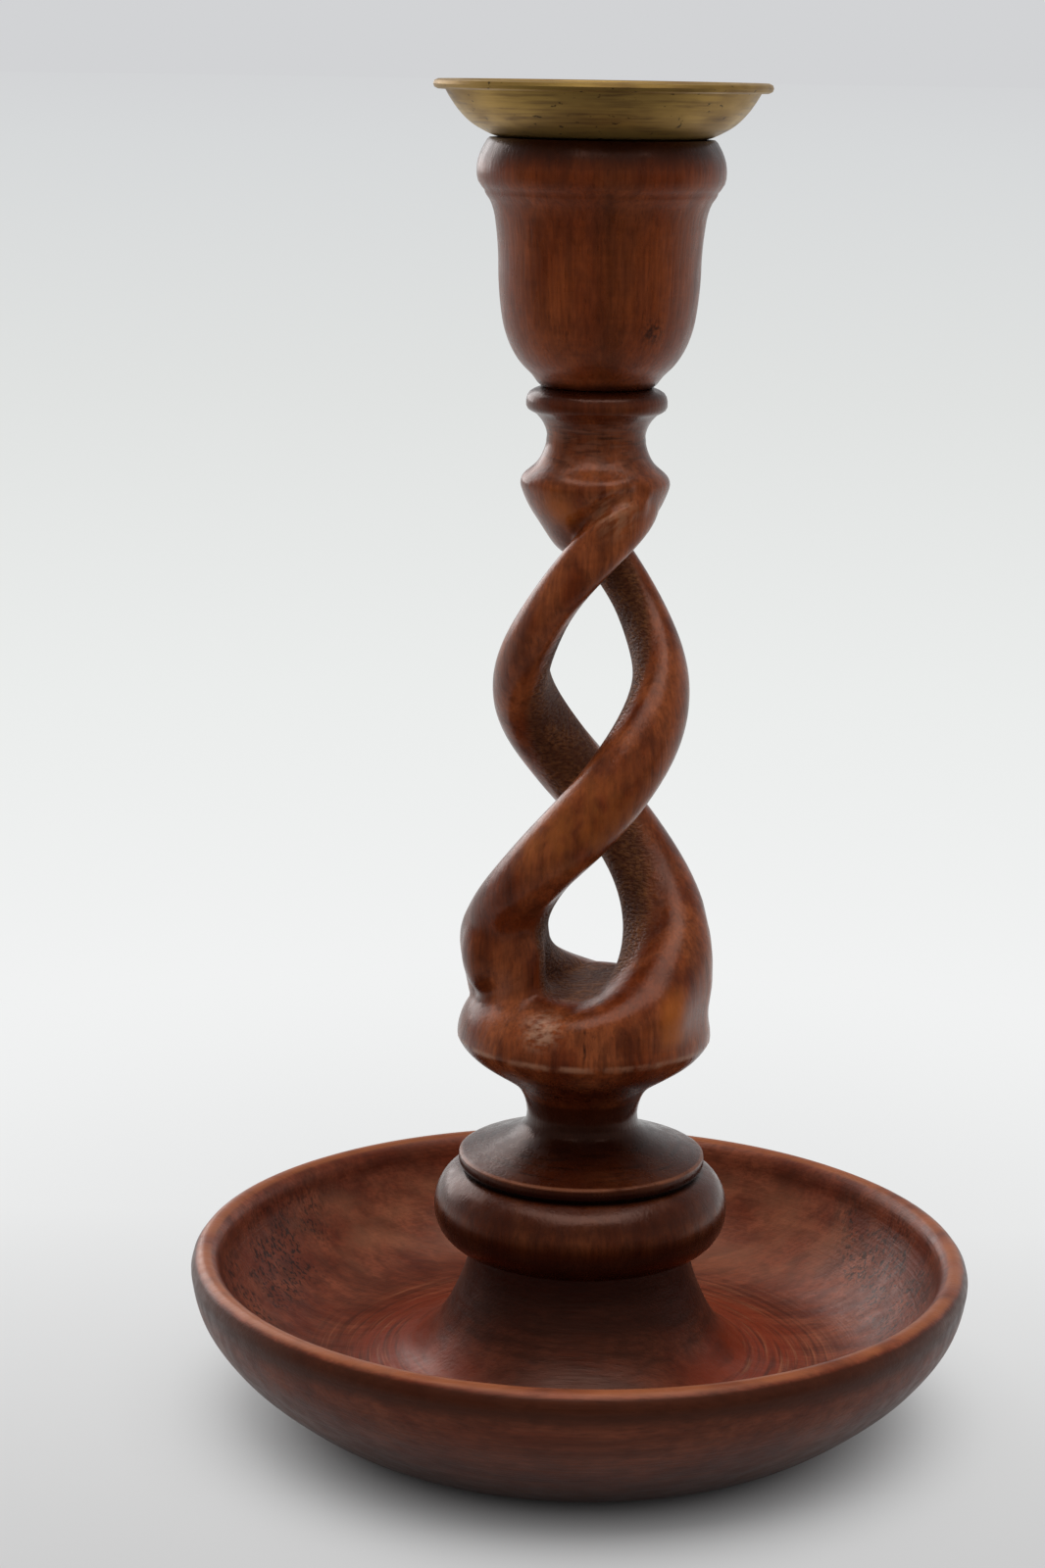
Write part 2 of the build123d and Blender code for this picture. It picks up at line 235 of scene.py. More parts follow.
# Dish wood: brown stain with a red tint by the boss, a rim lighter on top from rubbing and a painted
# highlight, painted shade under the knop, below the rim, on the outside and on the front of the floor, and
# black pits in the end grain.
across = (0, math.radians(90), 0)
dish_wood, tree, place, colour, bump = waxed_wood(
    "Stained hardwood, waxed dish",
    turn=across,
    dark="#38150B",
    mid="#76321D",
    warm="#9C5439",
    figure=0.75,
    rings=0.2,
    gloss=0.37,
)
radius = from_axis(tree, place)[1]
height = add(tree, "ShaderNodeSeparateXYZ", {0: place}, output=2)
depth = add(tree, "ShaderNodeSeparateXYZ", {0: place}, output=1)
side = add(tree, "ShaderNodeSeparateXYZ", {0: place}, output=0)
side = add(tree, "ShaderNodeMath", {0: side}, operation="ABSOLUTE")
facing = add(tree, "ShaderNodeTexCoord", output=1)
facing = add(tree, "ShaderNodeSeparateXYZ", {0: facing}, output=2)
outside = add(tree, "ShaderNodeMapRange", {"Value": facing, "From Min": 0.1, "From Max": -0.1})

# Boss: red at its left and right foot, painted shade that makes it nearly black under the knop, and rings of
# the turning tool.
boss_side = zone(tree, side, (14, 24), (38, 52))
boss_ring = zone(tree, radius, (24, 28), (36, 48))
colour = stain(tree, colour, linear("#862C0B"), 0.7, boss_side, boss_ring)
# Painted shade: the boss nearly black under the overhanging knop.
shade = zone(tree, radius, (1, 2), (20, 35))
shade_height = zone(tree, height, (8, 24), no_end)
colour = stain(tree, colour, linear("#200B04"), 0.8, shade, shade_height)
boss_swirl = around(tree, place, 0.7, 0.46, 0.66)
boss_foot = zone(tree, radius, (18, 24), (43, 52))
colour = stain(tree, colour, linear("#260E05"), 0.6, boss_swirl, boss_foot)
boss_lines = around(tree, place, 0.45, 0.56, 0.7)
boss_edge = zone(tree, radius, (28, 34), (43, 52))
colour = stain(tree, colour, linear("#A86A48"), 0.5, boss_lines, boss_edge)

# Rim: lighter on top, partly rubbed wear and partly a painted highlight, with painted shade below its outer
# edge.
# Lighter top of the rim: rubbed wear and a painted highlight.
rim_top = zone(tree, height, (30.2, 30.8), no_end)
rim_ring = zone(tree, radius, (66.6, 67.4), (69.9, 70.3))
rim_wear_and_highlight = fibres(tree, place, across, 9.0, 14.0, 0.2, 0.6, 2.0)
colour = stain(tree, colour, linear("#A66038"), 0.7, rim_top, rim_ring, rim_wear_and_highlight)
# Painted shade on the rim's outer side, below its edge.
rim_edge = zone(tree, height, (24.0, 27.0), (29.8, 30.4))
rim_outside = zone(tree, radius, (69.0, 69.8), no_end)
colour = stain(tree, colour, linear("#331305"), 0.85, rim_edge, rim_outside)

# Bowl: pits in the end grain inside the left and right walls, a back wall lighter with wear and a painted
# sheen, an outside that is darker with painted shade deepening towards its foot, and painted shade on the
# front of the floor.
pit_side = zone(tree, side, (46, 54), no_end)
pit_ring = zone(tree, radius, (52, 58), (64, 67))
pit_patch = fibres(tree, place, across, 9.0, 9.0, 0.4, 0.5, 1.0)
pits = fibres(tree, place, (0, 0, math.radians(20)), 0.7, 1.9, 0.52, 0.59, 2.0)
colour = stain(tree, colour, linear("#120705"), 0.9, pits, pit_side, pit_ring, pit_patch)
# Lighter back wall: partly wear, partly a painted sheen.
back_wall = zone(tree, depth, (24, 40), (56, 66))
back_ring = zone(tree, radius, (46, 56), (63, 67))
back_wear_and_sheen = fibres(tree, place, across, 7.0, 30.0, 0.3, 0.7, 3.0)
colour = stain(tree, colour, linear("#BC7E5C"), 0.3, back_wall, back_ring, back_wear_and_sheen)
# The outside of the wall: darker all over, with painted shade deepening towards the foot under the overhang.
wall = zone(tree, radius, (50, 52), no_end)
wall_foot = zone(tree, height, no_start, (3, 30))
colour = stain(tree, colour, linear("#240C04"), 0.85, wall, wall_foot, outside)
colour = stain(tree, colour, linear("#3A1709"), 0.3, wall, outside)
# Painted shade on the front of the bowl's floor.
front_side = towards_front(tree, place, -14, -34)
front_floor = zone(tree, radius, (20, 26), (46, 60))
colour = stain(tree, colour, linear("#2E1106"), 0.7, front_side, front_floor)
finish_wood(tree, colour, bump)
dish.data.materials.append(dish_wood)
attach(dish, "wood")
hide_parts("base_dish")

# Stem: one length of the same hardwood with upright grain. Tenon, knop, plate and neck, and the collar and
# spigot on top, are turned. The two strands between them are sawn out, carved, and sanded on the outside.
# Its tenon is glued and screwed into the dish's boss.
foot_outline = [
    [(0.0, 9.8), (4.0, 9.8), (7.6, 9.8)],
    [(7.6, 9.8), (8.0, 10.2), (8.0, 20.0), (8.0, 31.8)],
    [(8.0, 31.8), (14.0, 31.8), (20.6, 31.8)],
    [(20.6, 31.8), (21.3, 32.0), (23.9, 33.2), (25.8, 35.4), (26.7, 38.9), (26.1, 42.2), (24.4, 44.8)]
    + [(22.3, 46.1)],
    [(22.3, 46.1), (21.6, 46.3), (21.2, 46.5), (21.3, 46.75), (21.8, 46.9)],
    [(21.8, 46.9), (22.15, 47.2), (22.3, 47.8), (22.25, 48.7)],
    [(22.25, 48.7), (22.2, 49.05), (21.9, 49.25)],
    [(21.9, 49.25), (18.4, 50.5), (14.9, 51.9), (11.9, 53.4), (10.5, 54.6), (10.08, 55.8), (10.03, 56.6)],
]
top_outline = [
    [(8.68, 178.9), (8.58, 179.8), (8.9, 181.1), (9.6, 182.4), (10.6, 183.5)],
    [(10.6, 183.5), (11.4, 183.9), (12.0, 184.3), (12.3, 184.9), (12.3, 185.8), (12.1, 186.6), (11.7, 187.2)],
    [(11.7, 187.2), (11.0, 187.65), (9.9, 188.1), (8.0, 188.2), (5.0, 188.2)],
    [(5.0, 188.2), (5.0, 194.0), (5.0, 199.7)],
    [(5.0, 199.7), (4.6, 200.2), (0.0, 200.2)],
]
stem_sides = 180
stem_step = 0.8
lower_cut = 57.0
upper_cut = 178.5
strand_voxel = 0.55
smoothing = 0.5


def rounded_lump(name, centre, radii):
    """An egg shape of the given radii in mm, to be merged into a larger piece."""
    place = Vector(centre) * MM
    bpy.ops.object.select_all(action="DESELECT")
    bpy.ops.mesh.primitive_uv_sphere_add(segments=64, ring_count=32, radius=MM, location=place)
    lump = bpy.context.object
    lump.name = name
    lump.scale = radii
    bpy.ops.object.transform_apply(location=True, rotation=True, scale=True)
    return lump


def even_copy(name, node, voxel, lumps):
    """A welded, evenly meshed copy of a CAD node with lumps merged in, drawn back onto their surfaces."""
    bpy.ops.object.select_all(action="DESELECT")
    target = bpy.data.objects.new("target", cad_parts[node].data.copy())
    bpy.context.collection.objects.link(target)
    bpy.context.view_layer.objects.active = target
    target.select_set(True)
    bpy.ops.object.mode_set(mode="EDIT")
    bpy.ops.mesh.select_all(action="SELECT")
    bpy.ops.mesh.remove_doubles(threshold=weld_distance * MM)
    bpy.ops.object.mode_set(mode="OBJECT")
    for lump in lumps:
        lump.select_set(True)
    bpy.ops.object.join()
    bpy.ops.object.duplicate()
    piece = bpy.context.object
    piece.name = name
    piece.data.name = name
    remesh = piece.modifiers.new("even", "REMESH")
    remesh.mode = "VOXEL"
    remesh.voxel_size = voxel * MM
    bpy.ops.object.modifier_apply(modifier=remesh.name)
    wrap = piece.modifiers.new("onto", "SHRINKWRAP")
    wrap.target = target
    bpy.ops.object.modifier_apply(modifier=wrap.name)
    ease = piece.modifiers.new("ease", "SMOOTH")
    ease.factor = smoothing
    ease.iterations = 2
    bpy.ops.object.modifier_apply(modifier=ease.name)
    piece.data.materials.clear()
    bpy.ops.object.shade_smooth()
    bpy.data.objects.remove(target)
    return piece


def cut_away(piece, height, above):
    """Cuts a piece at a height in mm and takes away what lies above or below."""
    bpy.ops.object.mode_set(mode="EDIT")
    bpy.ops.mesh.select_all(action="SELECT")
    cut = {"plane_co": (0, 0, height * MM), "plane_no": (0, 0, 1)}
    bpy.ops.mesh.bisect(**cut, clear_outer=above, clear_inner=not above, use_fill=False)
    bpy.ops.object.mode_set(mode="OBJECT")


def close_gap(piece, height):
    """Bridges the two open edges of a piece that lie less than 1 mm above and below a height in mm."""
    low = (height - 1) * MM
    high = (height + 1) * MM
    open_ends = {"use_wire": False, "use_multi_face": False, "use_non_contiguous": False}
    bpy.ops.object.mode_set(mode="EDIT")
    bpy.ops.mesh.select_mode(type="EDGE")
    bpy.ops.mesh.select_all(action="DESELECT")
    bpy.ops.mesh.select_non_manifold(extend=False, **open_ends)
    bpy.ops.object.mode_set(mode="OBJECT")
    for edge in piece.data.edges:
        heights = [piece.data.vertices[v].co.z for v in edge.vertices]
        edge.select = edge.select and low < min(heights) and max(heights) < high
    bpy.ops.object.mode_set(mode="EDIT")
    bpy.ops.mesh.bridge_edge_loops()
    bpy.ops.mesh.select_mode(type="VERT")
    bpy.ops.object.mode_set(mode="OBJECT")


def carve(piece, strokes):
    """Moves the surface round each stroke's centre by its shift, most at the centre, less to its reach."""
    strokes = [(Vector(centre), reach, Vector(shift)) for centre, reach, shift in strokes]
    lowest = min(centre.z - reach for centre, reach, shift in strokes)
    highest = max(centre.z + reach for centre, reach, shift in strokes)
    for vertex in piece.data.vertices:
        here = vertex.co / MM
        if not lowest < here.z < highest:
            continue
        for centre, reach, shift in strokes:
            near = (here - centre).length / reach
            if near < 1:
                vertex.co += shift * (1 - near**2) ** 2 * MM


def outward_strokes(places, reach, lift):
    """Strokes at a row of places that lift the surface away from the Z axis, or press it in."""
    return [(place, reach, Vector((place[0], place[1], 0)).normalized() * lift) for place in places]


def sand(piece, weight, rounds):
    """Smooths a piece where its weight, worked out from a point in mm, is above zero."""
    group = piece.vertex_groups.new(name="sanded")
    for vertex in piece.data.vertices:
        share = weight(vertex.co / MM)
        if share > 0:
            group.add([vertex.index], share, "REPLACE")
    ease = piece.modifiers.new("sand", "SMOOTH")
    ease.vertex_group = group.name
    ease.factor = smoothing
    ease.iterations = rounds
    bpy.context.view_layer.objects.active = piece
    bpy.ops.object.modifier_apply(modifier=ease.name)
    piece.vertex_groups.clear()


def ramp(value, start, full):
    """Rises softly from 0 at start to 1 at full."""
    share = min(1, max(0, (value - start) / (full - start)))
    return share * share * (3 - 2 * share)


def right_strand_foot(point):
    """Where the right strand flows down into the shoulder."""
    bearing = math.degrees(math.atan2(point.y, point.x))
    aside = ramp(bearing, -98, -74) * ramp(bearing, 40, 20) * ramp(point.xy.length, 8, 12)
    return aside * ramp(point.z, 73.2, 75) * ramp(point.z, 96, 86)


def left_strand_foot(point):
    """Where the left strand and the front of the shoulder flow into each other."""
    aside = ramp(point.x, -20.5, -17) * ramp(point.x, -3, -7) * ramp(point.y, 1, -3)
    return aside * ramp(point.z, 75, 79) * ramp(point.z, 99, 93)


# Strokes of the carving, in mm: a fuller right of the shoulder, a flatter left strand, and a groove with
# a crest below it where the front strand leaves the flange.
shoulder_strokes = [
    ((21.5, -3, 77.5), 5.5, (1.0, 0, 0)),
    ((21.5, -2, 80.5), 6.5, (1.0, 0, 0)),
    ((21.8, -2, 85.0), 10.0, (1.1, 0, 0)),
    ((15, -15, 79.5), 6.0, (0.8, -0.8, 0)),
    ((-21.8, 2, 88.0), 10.0, (-0.5, 0, 0)),
]
head_groove = [(-3.0, -10.4, 165.2), (-1.1, -11.0, 166.8), (0.9, -12.0, 168.5), (2.9, -12.3, 169.8)]
head_groove += [(5.2, -11.7, 170.6), (7.6, -10.4, 171.3)]
head_crest = [(-0.5, -12.2, 164.8), (1.6, -12.8, 166.2), (3.6, -12.4, 167.3), (5.8, -11.3, 168.2)]
head_crest += [(8.2, -9.6, 168.8)]
head_strokes = outward_strokes(head_groove, reach=2.4, lift=-0.9)
head_strokes += outward_strokes(head_crest, reach=2.6, lift=0.5)

# The wood between the left strand's foot and the shoulder is solid, so two lumps fill the CAD's hollow there.
foot = turned("stem_foot", foot_outline, stem_sides, stem_step)
top = turned("stem_top", top_outline, stem_sides, stem_step)
web = rounded_lump("web", centre=(-11, -7.2, 85.5), radii=(4.3, 5.8, 9.0))
heel = rounded_lump("heel", centre=(-16.3, -4.4, 88), radii=(5.7, 6.6, 9.2))
stem = even_copy("carved_stem", "twist_stem", strand_voxel, [web, heel])
carve(stem, shoulder_strokes)
carve(stem, head_strokes)
sand(stem, right_strand_foot, rounds=168)
sand(stem, left_strand_foot, rounds=130)
cut_away(stem, lower_cut, above=False)
cut_away(stem, upper_cut, above=True)
for part in (foot, top, stem):
    part.select_set(True)
bpy.context.view_layer.objects.active = stem
bpy.ops.object.join()
close_gap(stem, lower_cut)
close_gap(stem, upper_cut)
bpy.ops.object.mode_set(mode="EDIT")
bpy.ops.mesh.select_all(action="SELECT")
bpy.ops.mesh.normals_make_consistent(inside=False)
bpy.ops.object.mode_set(mode="OBJECT")

# Stem wood: mottled red-brown and dark brown, rubbed lighter on edges, with a painted highlight on the
# plate's edge and the front crossing, and painted shade that makes the groove and neck nearly black. The
# inside of the strands is greyer, rough from the rasp, and took the stain unevenly.
upright = (0, 0, 0)
stem_wood, tree, place, colour, bump = waxed_wood(
    "Stained hardwood, carved stem",
    turn=upright,
    dark="#34130A",
    mid="#753214",
    warm="#AC5E34",
    figure=0.8,
    rings=0.12,
    gloss=0.27,
)


def patch(tree, place, centre, core, edge):
    """A soft round patch: full within its core of a centre, and gone past its edge, in mm."""
    way = {0: place, 1: tuple(part * MM for part in centre)}
    way = add(tree, "ShaderNodeVectorMath", way, output=1, operation="DISTANCE")
    return zone(tree, way, no_start, (core, edge))


flat, radius = from_axis(tree, place)
height = add(tree, "ShaderNodeSeparateXYZ", {0: place}, output=2)
side = add(tree, "ShaderNodeSeparateXYZ", {0: place}, output=0)
front_side = towards_front(tree, place, -8, -14)

# Inside of the strands and floor of the lower eye: dry, rasped wood.
outward = add(tree, "ShaderNodeVectorMath", {0: flat}, operation="NORMALIZE")
facing = add(tree, "ShaderNodeTexCoord", output=1)
facing = add(tree, "ShaderNodeVectorMath", {0: facing, 1: outward}, output=1, operation="DOT_PRODUCT")
turned_in = {"Value": facing, "From Min": 0.1, "From Max": -0.3}
turned_in = add(tree, "ShaderNodeMapRange", turned_in, interpolation_type="SMOOTHSTEP")
strand_run = zone(tree, height, (79, 82), (154, 162))
inner = add(tree, "ShaderNodeMath", {0: strand_run, 1: turned_in}, operation="MULTIPLY")
eye_height = zone(tree, height, (79.0, 80.4), (82, 85))
eye_ring = zone(tree, radius, no_start, (11.5, 15))
eye_floor = add(tree, "ShaderNodeMath", {0: eye_height, 1: eye_ring}, operation="MULTIPLY")
rasped = add(tree, "ShaderNodeMath", {0: inner, 1: eye_floor}, operation="MAXIMUM")
rasp = fibres(tree, place, upright, 0.9, 0.45, 0.3, 0.7)
rasp_patch = fibres(tree, place, upright, 5.0, 6.0, 0.35, 0.65)
bare = stain(tree, linear("#4A2412"), linear("#85542F"), 1.0, rasp)
bare = stain(tree, bare, linear("#3A1A0C"), 0.6, rasp_patch)
colour = stain(tree, colour, bare, 0.85, rasped)

# Front of the strands and shoulder: worn places, a lighter patch at the crossing that is partly wear and
# partly a painted highlight, an orange streak, and a crack up the middle.
# Lighter patch at the crossing: wear and a painted highlight.
crossing = zone(tree, height, (102, 111), (116, 128))
crossing_wear_and_highlight = fibres(tree, place, upright, 3.0, 5.0, 0.3, 0.7)
colour = stain(tree, colour, linear("#AC622A"), 0.4, front_side, crossing, crossing_wear_and_highlight)
worn_spot = patch(tree, place, (-7.5, -19.5, 78.0), 1, 5.5)
worn_marks = fibres(tree, place, (0, math.radians(80), 0), 0.8, 2.6, 0.35, 0.65)
colour = stain(tree, colour, linear("#C49A7E"), 0.5, worn_spot, worn_marks)
streak_side = zone(tree, side, (12.5, 15), (16.5, 19))
streak_height = zone(tree, height, (73, 76), (80, 86))
colour = stain(tree, colour, linear("#BC6828"), 0.6, front_side, streak_side, streak_height)
facet = patch(tree, place, (-6.0, -9.5, 168.0), 1, 5)
colour = stain(tree, colour, linear("#B4601F"), 0.55, facet)
crest = patch(tree, place, (3.5, -12.0, 167.6), 1, 6)
crest_worn = fibres(tree, place, (0, math.radians(-50), 0), 0.8, 5.0, 0.4, 0.6)
colour = stain(tree, colour, linear("#AC7A5A"), 0.45, crest, crest_worn)
crack_side = zone(tree, side, (-0.2, 0.1), (0.3, 0.6))
crack_height = zone(tree, height, (72, 74), (77, 80))
crack_break = fibres(tree, place, upright, 0.8, 3.0, 0.4, 0.55)
colour = stain(tree, colour, linear("#1E0A04"), 0.7, front_side, crack_side, crack_height, crack_break)

# Knop, plate and lower neck: dark, with painted shade under the knop, in the groove, on the lower neck and
# under the shoulder, and stain gathered in the tool marks.
# Painted shade on the underside of the knop.
knop_low = zone(tree, height, (20, 21), (37, 45))
colour = stain(tree, colour, linear("#1A0904"), 0.85, knop_low)
knop_veil = zone(tree, height, (40, 43), (60, 61))
colour = stain(tree, colour, linear("#2E0E04"), 0.8, knop_veil)
# Painted shade in the groove between knop and plate.
groove = zone(tree, height, (45.9, 46.4), (47.4, 49.0))
colour = stain(tree, colour, linear("#0E0503"), 0.9, groove)
plate_top = zone(tree, height, (49.3, 50.2), (52.6, 54))
plate_lines = around(tree, place, 0.55, 0.5, 0.64)
colour = stain(tree, colour, linear("#120603"), 0.6, plate_top, plate_lines)
# Painted shade on the lower neck and under the shoulder.
neck = zone(tree, height, (49.5, 54), (57, 61))
colour = stain(tree, colour, linear("#240D05"), 0.6, neck)
under = zone(tree, height, (55, 58), (66, 71.4))
colour = stain(tree, colour, linear("#3E1806"), 0.5, under)

# Collar and upper neck: darker towards the cup, with painted shade on the collar's top under the cup, and
# pale and dark tool marks on the neck.
# Painted shade on the collar's top, under the cup.
collar_top = zone(tree, height, (186.2, 187.2), (189, 190))
colour = stain(tree, colour, linear("#1A0A05"), 0.7, collar_top)
collar = zone(tree, height, (180, 184), (189, 190))
colour = stain(tree, colour, linear("#3C1406"), 0.6, collar)
upper_neck = zone(tree, height, (171.5, 174), (182, 184))
upper_pale = around(tree, place, 0.9, 0.45, 0.65)
upper_dark = around(tree, place, 0.5, 0.5, 0.64)
colour = stain(tree, colour, linear("#8E604C"), 0.35, upper_neck, upper_pale)
colour = stain(tree, colour, linear("#22100A"), 0.55, upper_neck, upper_dark)

# Edges of the shoulder and the plate: rubbed lighter. The plate's edge also carries a painted highlight.
edge_height = zone(tree, height, (70.4, 71.2), (71.5, 72.2))
edge_ring = zone(tree, radius, (21.6, 22.4), no_end)
edge_worn = fibres(tree, place, upright, 4.0, 4.0, 0.38, 0.6)
colour = stain(tree, colour, linear("#B07F62"), 0.6, edge_height, edge_ring, edge_worn)
# Plate's edge: rubbed wear and a painted highlight.
plate_edge = zone(tree, height, (48.7, 48.95), (49.4, 49.6))
plate_ring = zone(tree, radius, (21.5, 21.9), no_end)
plate_wear_and_highlight = fibres(tree, place, upright, 6.0, 6.0, 0.3, 0.6)
colour = stain(tree, colour, linear("#A8694A"), 0.4, plate_edge, plate_ring, plate_wear_and_highlight)

rasp_depth = 0.25
dry_roughness = 0.62
rasp_bump = {"Height": rasp, "Strength": rasped, "Distance": rasp_depth * MM, "Normal": bump}
rasp_bump = add(tree, "ShaderNodeBump", rasp_bump)
shader = tree.nodes["Principled BSDF"]
waxed = shader.inputs["Roughness"].links[0].from_socket
dry = add(tree, "ShaderNodeMix", {0: rasped, 2: waxed, 3: dry_roughness})
tree.links.new(dry, shader.inputs["Roughness"])
finish_wood(tree, colour, rasp_bump)
stem.data.materials.append(stem_wood)
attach(stem, "wood")
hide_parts("twist_stem")

# Screw: a countersunk steel wood screw, driven up through the dish into the stem's tenon. The CAD's own piece
# is shown. A dull skin of oxide makes it an uneven dark grey.
screw_steel = bpy.data.materials.new("Steel, dull with oxide")
screw_steel.use_nodes = True
tree = screw_steel.node_tree
shader = tree.nodes["Principled BSDF"]
place = add(tree, "ShaderNodeTexCoord", output=3)
oxide = add(tree, "ShaderNodeTexNoise", {"Vector": place, "Scale": 900.0, "Detail": 4.0})
colour = stain(tree, linear("#85827D"), linear("#4C4A48"), 1.0, oxide)
tree.links.new(colour, shader.inputs["Base Color"])
shader.inputs["Metallic"].default_value = 1.0
shader.inputs["Roughness"].default_value = 0.45
for material_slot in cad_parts["base_screw"].material_slots:
    material_slot.material = screw_steel

# Cup: the same hardwood with upright grain, turned apart from the stem, bored for the brass socket and glued
# onto the stem's spigot. The bead round its top flows into the wall in one smooth curve.
cup_outline = [
    [(5.05, 188.2), (7.5, 188.2), (9.5, 188.2)],
    [(9.5, 188.2), (9.8, 188.35), (11.4, 190.2), (13.3, 192.1), (14.9, 194.5), (16.3, 198.1), (17.05, 202.3)]
    + [(17.4, 206.3), (17.55, 211.0), (17.95, 215.3), (18.45, 218.2), (19.1, 219.9), (19.75, 220.8)]
    + [(19.95, 221.2), (20.05, 221.6), (20.5, 222.1)]
    + [(21.15, 223.1), (21.42, 225.0), (21.2, 226.8), (20.6, 228.5), (19.7, 230.1)],
    [(19.7, 230.1), (19.3, 230.45), (18.6, 230.5)],
    [(18.6, 230.5), (15.5, 230.5), (13.2, 230.5)],
    [(13.2, 230.5), (13.2, 229.1)],
    [(13.2, 229.1), (12.1, 229.1)],
    [(12.1, 229.1), (12.1, 217.0), (12.1, 205.0)],
    [(12.1, 205.0), (0.0, 205.0)],
    [(0.0, 205.0), (0.0, 200.4)],
    [(0.0, 200.4), (5.05, 200.4)],
    [(5.05, 200.4), (5.05, 194.0), (5.05, 188.2)],
]
cup = turned("turned_cup", cup_outline, sides=220)

# Cup wood: red-brown stain with wide upright dark streaks and one small knot at the front right.
cup_wood, tree, place, colour, bump = waxed_wood(
    "Stained hardwood, turned cup",
    turn=upright,
    dark="#42190A",
    mid="#7E3716",
    warm="#A25328",
    figure=0.6,
    rings=0.12,
    gloss=0.31,
)
height = add(tree, "ShaderNodeSeparateXYZ", {0: place}, output=2)
side = add(tree, "ShaderNodeSeparateXYZ", {0: place}, output=0)
front_side = towards_front(tree, place, 2, -6)
front_band = zone(tree, side, (-4, 0.5), (3, 8))
wide = fibres(tree, place, upright, 6.0, 160.0, 0.3, 0.7, 2.0, 0.3)
colour = stain(tree, colour, linear("#3A1605"), 0.65, front_band, front_side, wide)
knot = patch(tree, place, (9.5, -14.2, 198.7), 0.6, 3.6)
knot_spots = fibres(tree, place, upright, 0.6, 0.8, 0.34, 0.66)
colour = stain(tree, colour, linear("#1E0B06"), 0.85, knot, knot_spots)
# Darker under the pan: dirt, and painted shadow of the pan.
rim_dirt_and_pan_shadow = zone(tree, height, (224.5, 229.5), no_end)
colour = stain(tree, colour, linear("#1E0B05"), 0.85, rim_dirt_and_pan_shadow)
# Darker at the foot by the collar: dirt in the joint, and painted shade between cup and collar.
foot_dirt_and_shade = zone(tree, height, (187, 187.5), (188.8, 190))
colour = stain(tree, colour, linear("#1A0B06"), 0.6, foot_dirt_and_shade)
finish_wood(tree, colour, bump)
cup.data.materials.append(cup_wood)
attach(cup, "wood")
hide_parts("candle_cup")

# Nozzle: a drawn brass tube with a floor, which holds the candle. A ring round it sits in the cup's mouth
# under the pan, and a lip is rolled outwards above the pan.
nozzle_outline = [
    [(0.0, 205.0), (6.0, 205.0), (11.5, 205.0)],
    [(11.5, 205.0), (11.9, 205.4)],
    [(11.9, 205.4), (11.9, 217.0), (11.9, 229.3)],
    [(11.9, 229.3), (12.8, 229.3)],
    [(12.8, 229.3), (13.0, 229.8), (12.8, 230.3)],
    [(12.8, 230.3), (11.9, 230.3)],
    [(11.9, 230.3), (11.9, 231.6)],
    [(11.9, 231.6), (12.9, 231.6)],
    [(12.9, 231.6), (13.3, 231.8), (13.4, 232.2), (12.9, 232.7), (12.2, 232.8), (11.5, 232.5)]
    + [(11.15, 231.9)],
    [(11.15, 231.9), (11.15, 218.0), (11.15, 205.8)],
    [(11.15, 205.8), (6.0, 205.8), (0.0, 205.8)],
]
nozzle = turned("brass_nozzle", nozzle_outline, sides=160, step=0.5)
brass_metallic = 0.7
brass_spread = 0.14


def aged_brass(name, bright, dull, brown, rough):
    """Old brass: olive-gold with faint tool rings, brown patches of tarnish and a few dark specks."""
    material = bpy.data.materials.new(name)
    material.use_nodes = True
    tree = material.node_tree
    shader = tree.nodes["Principled BSDF"]
    place = add(tree, "ShaderNodeTexCoord", output=3)
    patches = fibres(tree, place, upright, 11.0, 6.0, 0.3, 0.7, 3.0)
    smears = around(tree, place, 1.1, 0.42, 0.7)
    smear_place = fibres(tree, place, upright, 9.0, 3.0, 0.36, 0.62, 3.0)
    specks = fibres(tree, place, upright, 1.5, 0.9, 0.66, 0.74, 2.0)
    tool = around(tree, place, 0.35, 0.35, 0.7)
    colour = stain(tree, linear(bright), linear(dull), 0.8, patches)
    colour = stain(tree, colour, linear(dull), 0.3, tool)
    colour = stain(tree, colour, linear(brown), 0.75, smears, smear_place)
    colour = stain(tree, colour, linear("#2A1C0E"), 0.8, specks)
    tree.links.new(colour, shader.inputs["Base Color"])
    shader.inputs["Metallic"].default_value = brass_metallic
    roughness = {"Value": patches, "To Min": rough, "To Max": rough + brass_spread}
    tree.links.new(add(tree, "ShaderNodeMapRange", roughness), shader.inputs["Roughness"])
    bump = {"Height": tool, "Strength": 0.3, "Distance": 0.04 * MM}
    tree.links.new(add(tree, "ShaderNodeBump", bump), shader.inputs["Normal"])
    return material


# Nozzle brass: a skin of tarnish takes part of the metal's shine, so it looks olive and soft.
nozzle_brass = aged_brass(
    "Brass, drawn and aged",
    bright="#B4924E",
    dull="#8A6C38",
    brown="#4A351C",
    rough=0.36,
)
nozzle.data.materials.append(nozzle_brass)
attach(nozzle, "nozzle")
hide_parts("candle_nozzle")

